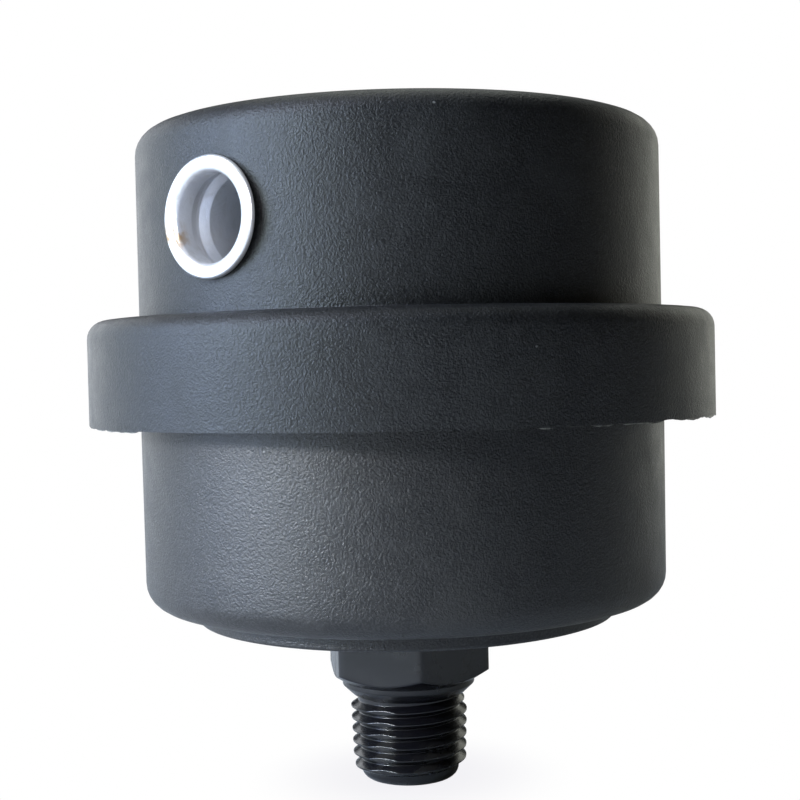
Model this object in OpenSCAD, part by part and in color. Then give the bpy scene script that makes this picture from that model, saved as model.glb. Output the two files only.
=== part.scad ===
// Intake muffler with a two-part moulded housing, a pressed steel intake tube in the cover's
// side, a pleated filter cartridge in the base and a taper-threaded outlet stud underneath.
// Millimetres. +Z is up, the origin is the centre of the stud's end face, and the intake
// tube points along -Y.

/* [Housing] */
// Outside diameter of the cover's cup and of the base cup
body_d = 58.6; // [54:0.2:76]
// Overhang of the collar beyond the cup
collar_step = 5.7; // [4.8:0.1:8]
// Wall thickness of the cover's cup
cover_wall = 1.5; // [1.2:0.1:2.6]
// Wall thickness of the base cup
base_wall = 2; // [1.4:0.1:3]
// Wall thickness of the collar's skirt
skirt_wall = 2.2; // [1.6:0.1:3]
// Thickness of the shoulder between cup and skirt
shoulder_t = 2.2; // [1.8:0.1:3]
// Thickness of the cover's roof
roof_t = 2.4; // [1.6:0.1:3.5]
// Rounding of the cover's top edge and the base's bottom edge
edge_r = 2.8; // [2:0.1:4.5]
// Rounding of the collar's top edge
collar_edge_r = 2; // [1:0.1:2.4]
// Radius that the base cup gains from its bottom to its mouth
base_draft = 0.15; // [0:0.05:0.4]

/* [Heights] */
// Gap between the intake tube's lip and the top of the cover
roof_rise = 5.3; // [4.2:0.1:12]
// Gap between the intake tube's lip and the collar's top
lip_rise = 3.3; // [2.4:0.1:10]
// Height of the collar
collar_h = 11.4; // [9:0.1:16]
// Height of the base cup, from its underside to its seat
base_h = 29.5; // [26:0.1:44]
// Height of the stepped foot under the base cup
foot_h = 1.9; // [1:0.1:4]
// Distance that the foot stands in from the cup's side
foot_step = 5.7; // [3.2:0.1:9]
// Thickness of the base cup's floor
floor_t = 2; // [1.4:0.1:4]

/* [Stud] */
// Width of the hexagon across its flats
hex_af = 17; // [15:0.5:22]
// Height of the hexagon
hex_h = 7.6; // [5:0.1:12]
// Height of the plain neck between thread and hexagon
neck_h = 1.7; // [1.2:0.1:3]
// Distance that the ring under the hexagon stands in from its flats
neck_step = 0.95; // [0.4:0.05:1.4]
// Length of the threaded end
thread_l = 9.6; // [8:0.1:14]
// Outside diameter of the thread at its gauge plane
thread_d = 13.157; // [12.6:0.05:14]
// Distance of the gauge plane from the stud's end
gauge_l = 6; // [4:0.1:7]
// Pitch of the thread
pitch = 1.337; // [1:0.05:1.8]
// Bore of the outlet
outlet_d = 8; // [6:0.1:9]
// Height of the outlet spigot above the base's floor
spigot_h = 5.5; // [4:0.1:9]
// Wall thickness of the outlet spigot
spigot_wall = 2.6; // [1.6:0.1:3]

/* [Seal] */
// Height of the base's rim flange
flange_h = 4.8; // [4:0.1:7]
// Radial clearance between rim flange and skirt
skirt_gap = 0.4; // [0.3:0.05:0.8]
// Thickness of the housing seal ring's section
o_ring_t = 1.8; // [1.4:0.1:2.4]

/* [Intake] */
// Bore of the intake tube
tube_bore = 9; // [7:0.1:11]
// Wall thickness of the intake tube
tube_wall = 0.5; // [0.4:0.1:1]
// Length of the tube from the lip's back to its inner end
tube_l = 25; // [16:0.5:28]
// Overhang of the tube's rolled lip
lip_step = 1.1; // [0.8:0.1:3]
// Thickness of the tube's lip
lip_t = 0.8; // [0.6:0.1:1.4]
// Thickness of the foam liner
foam_t = 7; // [4:0.5:9]
// Thickness of the foam disc under the cover's roof
roof_foam_t = 2; // [1:0.5:3]

/* [Filter] */
// Gap for the air between the cartridge and the base cup's wall
air_gap = 4.3; // [3.5:0.1:7]
// Outside diameter of the perforated core
core_d = 20; // [18:0.5:24]
// Wall thickness of the perforated core
core_wall = 0.7; // [0.5:0.1:1.2]
// Diameter of the holes in the perforated core
core_hole_d = 2.6; // [1.6:0.1:3.2]
// Number of pleats
pleats = 40; // [24:1:48]
// Thickness of the filter paper
paper_t = 0.45; // [0.3:0.05:0.6]
// Thickness of the mesh sleeve round the pleats
mesh_t = 0.4; // [0.3:0.1:0.8]
// Number of mesh openings in one row
mesh_columns = 36; // [24:2:44]
// Width of one strand of the mesh
strand_w = 0.7; // [0.5:0.1:1]
// Thickness of the end caps
cap_t = 1.2; // [1:0.1:2]
// Depth of the rim that each end cap wraps round the pleats
cap_rim = 1.6; // [1:0.1:3]
// Thickness of the washer under the cartridge
washer_t = 1.2; // [0.8:0.1:2]
// Thickness of the sponge ring that holds the cartridge down
sponge_t = 1.2; // [0.8:0.1:2]
// Thickness of the baffle plate
baffle_t = 1.2; // [1:0.1:1.8]
// Number of air holes in the baffle plate
baffle_holes = 24; // [12:1:28]
// Diameter of an air hole in the baffle plate
baffle_hole_d = 3.2; // [2:0.1:3.4]

/* [Hidden] */
$fn = 96;
eps = 0.01;

// Gaps: between pieces pushed together, round pieces lifted out, under pieces that rest, on
// each side of the seal ring and round the tube in its hole
slip = 0.1;
loose = 0.3;
seat_gap = 0.1;
seal_gap = 0.05;
press_gap = 0.05;

body_r = body_d / 2;
collar_r = body_r + collar_step;
neck_r = hex_af / 2 - neck_step;
tube_r = tube_bore / 2;
tube_out_r = tube_r + tube_wall;
lip_r = tube_out_r + lip_step;

// Levels, from the stud's end up
z_neck = thread_l;
z_hex = z_neck + neck_h;
z_foot = z_hex + hex_h;
z_base = z_foot + foot_h;
z_floor = z_base + floor_t;
z_seat = z_base + base_h;
z_shoulder = z_seat + seat_gap;
z_collar_top = z_shoulder + shoulder_t;
z_skirt = z_collar_top - collar_h;
z_intake = z_collar_top + lip_rise + lip_r;
z_top = z_intake + lip_r + roof_rise;
z_flange = z_seat - flange_h;

// Radii of the housing
cover_in_r = body_r - cover_wall;
base_in_r = body_r - base_wall;
mouth_r = body_r + base_draft;
skirt_in_r = collar_r - skirt_wall;
flange_r = skirt_in_r - skirt_gap;
outlet_r = outlet_d / 2;
spigot_r = outlet_r + spigot_wall;

// Seal ring: it runs in a groove in the flange's edge and just reaches the skirt
o_ring_mid_r = skirt_in_r - seal_gap - o_ring_t / 2;
groove_w = o_ring_t + 0.4;
groove_r = o_ring_mid_r - o_ring_t / 2 - seal_gap;
z_o_ring = z_flange + flange_h / 2;

// Baffle: it lies in a rebate of the base's mouth and under a rebate of the cover
baffle_r = base_in_r + base_wall / 2;
rebate_r = baffle_r + loose;
rebate_d = baffle_t / 2;
z_baffle = z_seat - rebate_d + seat_gap;
baffle_ring_r = base_in_r - air_gap / 2;
rib_h = 1;
rib_w = 1.2;

// Cartridge stack, between the base's floor and the baffle
cartridge_r = base_in_r - air_gap;
z_cap = z_floor + washer_t;
z_paper = z_cap + cap_t;
z_sponge = z_baffle - sponge_t;
z_paper_top = z_sponge - seat_gap - cap_t;
core_r = core_d / 2;
cap_rim_t = 1.1;
mesh_r = cartridge_r - cap_rim_t - slip;
pleat_out_r = mesh_r - mesh_t - slip;
pleat_in_r = core_r + slip;
fold_w = 0.4;
clip_t = 0.35;
seam_r = pleat_out_r - clip_t - slip;
collar_hole_r = spigot_r + loose;

// Bead that is rolled into the intake tube behind the cover's wall, and the tube's mouth
bead_h = 0.55;
bead_w = 1.1;
bead_at = body_r - sqrt(pow(cover_in_r, 2) - pow(tube_out_r + bead_h, 2)) + slip;
mouth_bevel = 0.7;

// Fillets inside the two cups
floor_corner = 1.2;
roof_corner = 1;

// Thread: 55 degree flanks, taper of 1 in 16 on the diameter
thread_depth = 0.64 * pitch;
taper = 1 / 32;
tip_r = 1.2;
hex_turn = 17;
thread_phase = 118.5;
flat_angle = -80.5;
flat_depth = 0.24;
thread_steps = 48;
thread_start = tip_r;
thread_turns = floor((thread_l - thread_start - pitch * 0.1) / pitch * thread_steps) / thread_steps;

function crest_r(z) = thread_d / 2 + (z - gauge_l) * taper;
function root_r(z) = crest_r(z) - thread_depth;

// A disc profile with its outer top corner rounded
module rounded_top(r, h, edge) {
    square([r - edge, h]);
    square([r, h - edge]);
    translate([r - edge, h - edge]) circle(edge);
}

// A ring standing on z
module ring(r_out, r_in, h, z = 0) {
    translate([0, 0, z]) difference() {
        cylinder(r = r_out, h = h);
        translate([0, 0, -1]) cylinder(r = r_in, h = h + 2);
    }
}

// Places children on the intake's axis: child z = 0 is the cup's outer face, +z is inwards
module on_intake() {
    translate([0, -body_r, z_intake]) rotate([-90, 0, 0]) children();
}

// How much of the thread's height stands at a share of its length: it fades in and out
function fade(t) = min(1, t * thread_turns / 0.35, (1 - t) * thread_turns / 0.6);

// The mould halves meet on two flats that take the top off the ridge
function part_off(r, z, angle) =
    let (across = abs(cos(angle - flat_angle)))
    across > 0.9 ? min(r, (crest_r(z) - flat_depth) / across) : r;

// One section of the ridge: two points buried in the core and two on the crest
function ridge_section(t) =
    let (angle = thread_phase + t * thread_turns * 360,
         z = thread_start + t * thread_turns * pitch,
         foot = root_r(z) - 0.25,
         crest = part_off(root_r(z) + thread_depth * fade(t), z, angle),
         half_foot = pitch * 0.52 * max(fade(t), 0.2),
         half_crest = pitch * 0.11)
    [for (p = [[foot, -half_foot], [crest, -half_crest], [crest, half_crest], [foot, half_foot]])
        [p[0] * cos(angle), p[0] * sin(angle), z + p[1]]];

module thread_ridge() {
    n = round(thread_turns * thread_steps);
    points = [for (i = [0:n]) each ridge_section(i / n)];
    sides = [for (i = [0:n - 1], k = [0:3])
        each [[4 * i + k, 4 * i + (k + 1) % 4, 4 * i + 4 + (k + 1) % 4],
              [4 * i + k, 4 * i + 4 + (k + 1) % 4, 4 * i + 4 + k]]];
    ends = [[3, 2, 1, 0], [for (k = [0:3]) 4 * n + k]];
    polyhedron(points, concat(sides, ends));
}

// The stud's core turned from its end face to the hexagon
module stud_core() {
    top = thread_l;
    rotate_extrude() {
        polygon([[0, tip_r], [root_r(tip_r), tip_r], [root_r(top - 0.6), top - 0.6],
                 [crest_r(top) - 0.25, top], [neck_r, z_hex - 0.5], [neck_r, z_hex + 1],
                 [0, z_hex + 1]]);
        square([root_r(tip_r) - tip_r, tip_r + 0.1]);
        translate([root_r(tip_r) - tip_r, tip_r]) circle(tip_r);
    }
}

module hexagon() {
    corner_r = hex_af / 2 / cos(30);
    rise = 1.45;
    intersection() {
        translate([0, 0, z_hex]) rotate([0, 0, hex_turn])
            cylinder(r = corner_r, h = hex_h + 0.5, $fn = 6);
        union() {
            translate([0, 0, z_hex])
                cylinder(r1 = neck_r, r2 = corner_r + 0.1, h = rise);
            translate([0, 0, z_hex + rise]) cylinder(r = corner_r + 0.1, h = hex_h);
        }
    }
}

// Outside of the base cup, turned: a drafted wall on a rounded bottom edge
module base_outer() {
    rotate_extrude() {
        translate([0, z_base]) square([body_r - edge_r, base_h]);
        translate([body_r - edge_r, z_base + edge_r]) circle(edge_r);
        polygon([[0, z_base + edge_r], [body_r, z_base + edge_r], [mouth_r, z_seat], [0, z_seat]]);
        translate([0, z_foot]) square([body_r - foot_step, foot_h + 1]);
        translate([0, z_flange]) square([flange_r, flange_h]);
    }
}

// Inside of the base cup, with a filleted floor corner and the baffle's rebate
module base_inner() {
    corner_r = base_in_r - floor_corner;
    rotate_extrude() {
        translate([0, z_floor]) square([corner_r, base_h]);
        translate([0, z_floor + floor_corner]) square([base_in_r, base_h]);
        translate([corner_r, z_floor + floor_corner]) circle(floor_corner);
        translate([0, z_baffle]) square([rebate_r, base_h]);
    }
}

module base_shell() {
    color([0.13, 0.135, 0.15]) difference() {
        union() {
            difference() {
                union() {
                    base_outer();
                    hexagon();
                    stud_core();
                }
                base_inner();
                ring(flange_r + 1, groove_r, groove_w, z_o_ring - groove_w / 2);
            }
            translate([0, 0, z_floor - 0.5]) cylinder(r = spigot_r, h = spigot_h + 0.5);
            thread_ridge();
        }
        translate([0, 0, -1]) cylinder(r = outlet_r, h = z_floor + spigot_h + 2);
    }
}

module housing_seal_ring() {
    color([0.05, 0.05, 0.05]) rotate_extrude()
        translate([o_ring_mid_r, z_o_ring]) circle(o_ring_t / 2);
}

// Outside of the cover, turned: the cup on its wider collar
module cover_outer() {
    rotate_extrude() {
        translate([0, z_skirt]) rounded_top(body_r, z_top - z_skirt, edge_r);
        translate([0, z_skirt]) rounded_top(collar_r, collar_h, collar_edge_r);
    }
}

module cover_inner() {
    rotate_extrude() {
        translate([0, z_skirt - 1])
            rounded_top(cover_in_r, z_top - roof_t - z_skirt + 1, roof_corner);
        translate([0, z_skirt - 1]) square([skirt_in_r, z_shoulder - z_skirt + 1]);
        translate([0, z_skirt - 1])
            square([rebate_r, z_baffle + baffle_t + seat_gap - z_skirt + 1]);
    }
}

module cover_shell() {
    color([0.13, 0.135, 0.15]) difference() {
        cover_outer();
        cover_inner();
        on_intake() translate([0, 0, -2]) cylinder(r = tube_out_r + press_gap, h = cover_wall + 6);
    }
}

module intake_tube() {
    color([0.75, 0.76, 0.78]) on_intake() rotate_extrude() difference() {
        union() {
            translate([tube_r, -lip_t / 2]) square([tube_wall, tube_l + lip_t / 2]);
            translate([tube_r, -lip_t]) square([lip_r - lip_t / 2 - tube_r, lip_t]);
            translate([lip_r - lip_t / 2, -lip_t / 2]) circle(lip_t / 2);
            translate([tube_r, bead_at]) square([tube_wall + bead_h, bead_w]);
        }
        translate([tube_r - 1, bead_at + 0.25]) square([1 + bead_h, bead_w - 0.5]);
        translate([tube_r, -lip_t]) rotate(45) square(mouth_bevel * sqrt(2), center = true);
    }
}

// Foam ring against the cup's wall, cut round the tube and its locking bead
module foam_liner() {
    bottom = z_baffle + baffle_t + rib_h + 2 * loose;
    top = z_top - roof_t - roof_foam_t;
    color([0.35, 0.36, 0.38]) difference() {
        ring(cover_in_r - slip, cover_in_r - foam_t, top - bottom, bottom);
        on_intake() cylinder(r = tube_out_r + slip, h = foam_t + 6);
        on_intake() cylinder(r = tube_out_r + bead_h + loose, h = bead_at + bead_w + loose);
    }
}

module roof_foam() {
    color([0.35, 0.36, 0.38]) translate([0, 0, z_top - roof_t - roof_foam_t])
        cylinder(r = cover_in_r - roof_corner - slip, h = roof_foam_t);
}

module baffle_plate() {
    color([0.2, 0.2, 0.22]) difference() {
        union() {
            translate([0, 0, z_baffle]) cylinder(r = baffle_r, h = baffle_t);
            ring(cartridge_r - 3, cartridge_r - 3 - rib_w, rib_h, z_baffle + baffle_t - eps);
            ring(core_r - 4, core_r - 4 - rib_w, rib_h, z_baffle + baffle_t - eps);
        }
        for (i = [0:baffle_holes - 1])
            rotate([0, 0, i * 360 / baffle_holes])
                translate([baffle_ring_r, 0, z_baffle - 1])
                    cylinder(d = baffle_hole_d, h = baffle_t + 3);
    }
}

module hold_down_ring() {
    color([0.08, 0.08, 0.09]) ring(cartridge_r - 5, core_r - 2, sponge_t, z_sponge);
}

module top_end_cap() {
    color([0.72, 0.3, 0.12]) {
        translate([0, 0, z_paper_top]) cylinder(r = cartridge_r, h = cap_t);
        ring(cartridge_r, mesh_r + slip, cap_rim, z_paper_top - cap_rim + eps);
        translate([0, 0, z_paper_top - cap_rim + eps])
            cylinder(r = core_r - core_wall - slip, h = cap_rim);
    }
}

// Half of one pleat's corners for a face of the paper that lies `side` off its middle: the
// outer fold is blunt and one fold, where the paper's ends meet, stands back for its clip
function pleat_corners(i, side) =
    let (turn = i * 360 / pleats,
         fold_r = (i == 0 ? seam_r : pleat_out_r) - paper_t / 2 + side,
         root = pleat_in_r + paper_t / 2 + side)
    [for (c = [[root, -180 / pleats, fold_w - side - 0.1], [fold_r, 0, -fold_w - side],
               [fold_r, 0, fold_w + side], [root, 180 / pleats, side - fold_w + 0.1]])
        let (r = c[0], a = turn + c[1]) [r * cos(a) - c[2] * sin(a), r * sin(a) + c[2] * cos(a)]];

module paper_face(side) {
    polygon([for (i = [0:pleats - 1]) each pleat_corners(i, side)]);
}

module pleated_paper() {
    color([0.9, 0.86, 0.74]) translate([0, 0, z_paper]) linear_extrude(z_paper_top - z_paper)
        difference() {
            paper_face(paper_t / 2);
            paper_face(-paper_t / 2);
        }
}

// Folded strip that clamps the two ends of the paper together
module pleat_seam_clip() {
    height = z_paper_top - z_paper - 2 * cap_rim - 1;
    slot = 2 * fold_w + paper_t + 0.1;
    reach = 3;
    color([0.7, 0.71, 0.73]) translate([seam_r - reach, 0, z_paper + cap_rim + 0.5])
        difference() {
            translate([0, -slot / 2 - clip_t, 0])
                cube([reach + slip + clip_t, slot + 2 * clip_t, height]);
            translate([-1, -slot / 2, -1]) cube([reach + slip + 1, slot, height + 2]);
        }
}

// Height of one of several rows of holes that are centred on the paper's height
function z_row(row, rows, spacing) =
    (z_paper + z_paper_top) / 2 + (row - (rows - 1) / 2) * spacing;

// Sleeve of expanded mesh: staggered rows of diamond openings
module mesh_sleeve() {
    height = z_paper_top - z_paper;
    column = 360 / mesh_columns;
    row_h = 4.2;
    rows = floor((height - 2 * cap_rim) / row_h) * 2 - 1;
    half_w = PI * mesh_r / mesh_columns - strand_w / 2;
    half_h = row_h / 2 - strand_w / 2;
    color([0.8, 0.81, 0.83]) difference() {
        ring(mesh_r, mesh_r - mesh_t, height, z_paper);
        for (row = [0:rows - 1], i = [0:mesh_columns - 1])
            rotate([0, 0, (i + row % 2 / 2) * column])
                translate([mesh_r - mesh_t - 0.5, 0, z_row(row, rows, row_h / 2)])
                    rotate([90, 0, 90]) linear_extrude(mesh_t + 1)
                        polygon([[half_w, 0], [0, half_h], [-half_w, 0], [0, -half_h]]);
    }
}

module perforated_core() {
    height = z_paper_top - z_paper;
    row_h = core_hole_d * 1.7;
    rows = floor((height - 4) / row_h);
    columns = 12;
    color([0.75, 0.76, 0.78]) difference() {
        ring(core_r, core_r - core_wall, height, z_paper);
        for (row = [0:rows - 1], i = [0:columns - 1])
            rotate([0, 0, (i + row % 2 / 2) * 360 / columns])
                translate([core_r - core_wall - 1, 0, z_row(row, rows, row_h)])
                    rotate([0, 90, 0]) cylinder(d = core_hole_d, h = core_wall + 2);
    }
}

module bottom_end_cap() {
    color([0.72, 0.3, 0.12]) {
        ring(cartridge_r, collar_hole_r, cap_t, z_cap);
        ring(cartridge_r, mesh_r + slip, cap_rim, z_paper - eps);
        ring(core_r - core_wall - slip, collar_hole_r, cap_rim, z_paper - eps);
    }
}

module seat_washer() {
    color([0.06, 0.06, 0.06]) ring(core_r + 4, collar_hole_r, washer_t, z_floor);
}

base_shell();
housing_seal_ring();
cover_shell();
intake_tube();
foam_liner();
roof_foam();
baffle_plate();
hold_down_ring();
top_end_cap();
mesh_sleeve();
pleated_paper();
pleat_seam_clip();
perforated_core();
bottom_end_cap();
seat_washer();
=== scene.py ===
"""Looks of an air compressor's intake muffler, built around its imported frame.

Every length in a class is in millimetres and every mesh is in metres, in the frame's own axes:
the housing's axis is +Z, the stud's end stands on z = 0 and the intake tube points along -Y.
"""

from __future__ import annotations

import logging
import math
from dataclasses import dataclass, fields
from enum import Enum
from typing import Callable, Sequence

import bmesh
import bpy
from mathutils import Matrix, Vector, noise


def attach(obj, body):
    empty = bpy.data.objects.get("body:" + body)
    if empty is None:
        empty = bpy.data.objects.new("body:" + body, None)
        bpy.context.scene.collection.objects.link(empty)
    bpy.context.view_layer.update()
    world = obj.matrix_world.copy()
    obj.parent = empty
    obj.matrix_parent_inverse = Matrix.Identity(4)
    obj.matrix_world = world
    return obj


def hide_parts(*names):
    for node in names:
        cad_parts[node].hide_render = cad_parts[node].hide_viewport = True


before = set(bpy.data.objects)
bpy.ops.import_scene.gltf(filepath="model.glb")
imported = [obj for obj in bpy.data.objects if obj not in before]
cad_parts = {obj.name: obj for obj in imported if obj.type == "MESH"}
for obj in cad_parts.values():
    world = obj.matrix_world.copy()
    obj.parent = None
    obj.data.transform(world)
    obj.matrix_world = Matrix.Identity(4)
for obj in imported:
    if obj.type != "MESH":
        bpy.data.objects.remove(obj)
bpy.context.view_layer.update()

LOG = logging.getLogger("muffler")
MM = 0.001
COARSE = 2.4
SHARP = math.radians(34)
ARC_STEP = math.radians(13)
MERGE = 2e-7
HEX_SLANT = math.cos(math.pi / 6)
FRONT = -51.5
HOUSING_R = 29.3
INTAKE_Z = 62.0

Colour = tuple[float, float, float]
Dress = bpy.types.Material
Piece = bpy.types.Object
Shape = bmesh.types.BMesh
Socket = bpy.types.NodeSocket


class Body(Enum):
    """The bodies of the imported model."""

    BASE = "base"
    SEAL = "seal"
    COVER = "cover"
    BAFFLE = "baffle"
    CARTRIDGE = "cartridge"


class Slot(Enum):
    """The record's material slots."""

    BLACK_MOULDING = "black_moulding"
    SEAL_RUBBER = "seal_rubber"
    ZINC_STEEL = "zinc_plated_steel"
    GREY_FOAM = "grey_foam"
    GREY_MOULDING = "grey_moulding"
    SPONGE_RUBBER = "sponge_rubber"
    PLASTISOL = "end_cap_plastisol"
    MESH = "galvanised_mesh"
    PAPER = "filter_paper"
    TINNED_STEEL = "tinned_steel"


# --------------------------------------------------------------------------- shaping


@dataclass(frozen=True)
class Corner:
    """A corner of a turned outline: its radius, its height and how far it is rounded."""

    r: float
    z: float
    fillet: float = 0.0


def arc(here: Vector, before: Vector, after: Vector, fillet: float) -> list[Vector]:
    """Rounds one corner.

    Args:
        here: The corner.
        before: The corner before it.
        after: The corner after it.
        fillet: The rounding's radius.

    Returns:
        The points of the arc, from the side of `before`.
    """
    back = (before - here).normalized()
    ahead = (after - here).normalized()
    half = back.angle(ahead) / 2
    centre = here + (back + ahead).normalized() * (fillet / math.sin(half))
    first = here + back * (fillet / math.tan(half)) - centre
    last = here + ahead * (fillet / math.tan(half)) - centre
    sweep = math.pi - 2 * half
    count = max(3, math.ceil(sweep / ARC_STEP))
    shares = [k / count for k in range(count + 1)]
    return [
        centre + (first * math.sin((1 - t) * sweep) + last * math.sin(t * sweep)) / math.sin(sweep)
        for t in shares
    ]


def outline(corners: Sequence[Corner], longest: float) -> list[Vector]:
    """Lays arcs in an outline's corners and splits its long runs.

    Args:
        corners: The outline's corners in order.
        longest: The longest run that stays whole.

    Returns:
        The outline's points as (radius, height).
    """
    places = [Vector((c.r, c.z)) for c in corners]
    rounded: list[Vector] = []
    for index, corner in enumerate(corners):
        if corner.fillet > 0:
            after = places[(index + 1) % len(places)]
            rounded += arc(places[index], places[index - 1], after, corner.fillet)
        else:
            rounded.append(places[index])
    closed = not is_open(corners)
    points: list[Vector] = []
    for index, point in enumerate(rounded):
        points.append(point)
        following = rounded[(index + 1) % len(rounded)]
        parts = math.ceil((following - point).length / longest - 1e-6)
        if closed or index + 1 < len(rounded):
            points += [point.lerp(following, k / parts) for k in range(1, parts)]
    return points


def band(inner: float, outer: float, low: float, high: float, fillets: Sequence[float]) -> list[Corner]:
    """Lists a flat ring's corners.

    Args:
        inner: The inner radius.
        outer: The outer radius.
        low: The lower face's height.
        high: The upper face's height.
        fillets: How far the corners are rounded: low inside, low outside, high outside, high inside.

    Returns:
        The corners in order.
    """
    places = ((inner, low), (outer, low), (outer, high), (inner, high))
    return [Corner(r, z, fillet) for (r, z), fillet in zip(places, fillets)]


def is_open(corners: Sequence[Corner]) -> bool:
    """Says whether an outline starts and ends on the axis."""
    return corners[0].r == 0 and corners[-1].r == 0


def turned(corners: Sequence[Corner], steps: int = 128, longest: float = 4.0, start: float = 0.0) -> Shape:
    """Turns an outline round the Z axis.

    Args:
        corners: The outline's corners in order, in millimetres.
        steps: How many steps make the full turn.
        longest: The longest run of the outline that stays whole.
        start: The angle of the first step, in radians.

    Returns:
        A closed mesh in metres.
    """
    mesh = bmesh.new()
    first = Matrix.Rotation(start, 3, "Z")
    verts = [mesh.verts.new(first @ Vector((p.x, 0, p.y)) * MM) for p in outline(corners, longest)]
    ends = verts[1:] if is_open(corners) else verts[1:] + verts[:1]
    edges = [mesh.edges.new(pair) for pair in zip(verts, ends)]
    bmesh.ops.spin(
        mesh,
        geom=verts + edges,
        cent=(0, 0, 0),
        axis=(0, 0, 1),
        dvec=(0, 0, 0),
        angle=math.tau,
        steps=steps,
        use_merge=True,
        use_duplicate=False,
    )
    bmesh.ops.remove_doubles(mesh, verts=mesh.verts, dist=MERGE)
    bmesh.ops.recalc_face_normals(mesh, faces=mesh.faces)
    return mesh


def finished(mesh: Shape, name: str) -> Piece:
    """Makes a smooth-shaded object with crisp edges from a mesh.

    Args:
        mesh: The mesh, which is used up.
        name: The new object's name.

    Returns:
        The object, which sits at the origin.
    """
    for face in mesh.faces:
        face.smooth = True
    for edge in mesh.edges:
        edge.smooth = not edge.is_manifold or edge.calc_face_angle() < SHARP
    data = bpy.data.meshes.new(name)
    mesh.to_mesh(data)
    mesh.free()
    piece = bpy.data.objects.new(name, data)
    bpy.context.scene.collection.objects.link(piece)
    return piece


def bored(piece: Piece, cutters: Sequence[Shape]) -> Piece:
    """Cuts holes in a piece.

    Args:
        piece: The piece to cut.
        cutters: Closed meshes of what is taken away, which are used up.

    Returns:
        The piece.
    """
    for cutter in cutters:
        tool = finished(cutter, "cutter")
        cut = piece.modifiers.new("hole", "BOOLEAN")
        cut.operation = "DIFFERENCE"
        cut.solver = "EXACT"
        cut.object = tool
        bpy.context.view_layer.update()
        graph = bpy.context.evaluated_depsgraph_get()
        piece.data = bpy.data.meshes.new_from_object(piece.evaluated_get(graph))
        piece.modifiers.clear()
        bpy.data.objects.remove(tool)
    tidy = bmesh.new()
    tidy.from_mesh(piece.data)
    bmesh.ops.remove_doubles(tidy, verts=tidy.verts, dist=MERGE)
    bmesh.ops.dissolve_degenerate(tidy, dist=MERGE, edges=tidy.edges)
    for edge in tidy.edges:
        edge.smooth = not edge.is_manifold or edge.calc_face_angle() < SHARP
    tidy.to_mesh(piece.data)
    tidy.free()
    return piece


def settle(piece: Piece, body: Body, dress: Dress, node: str) -> Piece:
    """Dresses a new piece, puts it on its body and lets it stand for its CAD node.

    Args:
        piece: The piece.
        body: The body it moves with.
        dress: Its material.
        node: The CAD node it replaces.

    Returns:
        The piece.
    """
    piece.data.materials.clear()
    piece.data.materials.append(dress)
    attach(piece, body.value)
    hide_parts(node)
    LOG.info("%s: %d faces on %s", piece.name, len(piece.data.polygons), body.value)
    return piece


def dress_node(node: str, dress: Dress) -> None:
    """Gives a CAD node that keeps its shape a better material.

    Args:
        node: The node's name.
        dress: The material.
    """
    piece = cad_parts[node]
    for held in piece.material_slots:
        held.material = dress
    LOG.info("%s: CAD shape kept, dressed as %s", node, dress.name)


# --------------------------------------------------------------------------- finishes


class Graph:
    """A node tree with short ways to add and join nodes."""

    def __init__(self, tree: bpy.types.NodeTree) -> None:
        """Takes hold of a tree and empties it."""
        self.tree = tree
        tree.nodes.clear()

    def add(
        self, kind: str, inputs: dict[str, object] | None = None, **settings: object
    ) -> bpy.types.Node:
        """Adds a node.

        Args:
            kind: The node's type.
            inputs: Values or sockets for its inputs, by name.
            **settings: The node's own properties.

        Returns:
            The node.
        """
        node = self.tree.nodes.new(kind)
        for name, value in settings.items():
            setattr(node, name, value)
        for name, value in (inputs or {}).items():
            socket = node.inputs[int(name)] if name.isdigit() else node.inputs[name]
            if isinstance(value, Socket):
                self.tree.links.new(value, socket)
            else:
                socket.default_value = value
        return node

    def maths(self, operation: str, first: object, second: object = 0.0) -> Socket:
        """Adds a Math node and returns its result."""
        return self.add("ShaderNodeMath", {"0": first, "1": second}, operation=operation).outputs[0]

    def ramp(self, value: object, low: float, high: float, to: float = 1.0) -> Socket:
        """Adds a smooth Map Range.

        Args:
            value: The value to map.
            low: The value that gives 0.
            high: The value that gives the most.
            to: The most.

        Returns:
            The mapped value.
        """
        reading = {"Value": value, "From Min": low, "From Max": high, "To Min": 0.0, "To Max": to}
        node = self.add("ShaderNodeMapRange", reading, interpolation_type="SMOOTHSTEP")
        return node.outputs["Result"]

    def blend(self, share: object, first: object, second: object) -> Socket:
        """Adds a colour mix.

        Args:
            share: The second colour's share.
            first: The first colour.
            second: The second colour.

        Returns:
            The mixed colour.
        """
        node = self.add("ShaderNodeMix", data_type="RGBA")
        for index, value in ((0, share), (6, first), (7, second)):
            if isinstance(value, Socket):
                self.tree.links.new(value, node.inputs[index])
            else:
                node.inputs[index].default_value = value if index == 0 else (*value, 1.0)
        return node.outputs[2]


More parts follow.
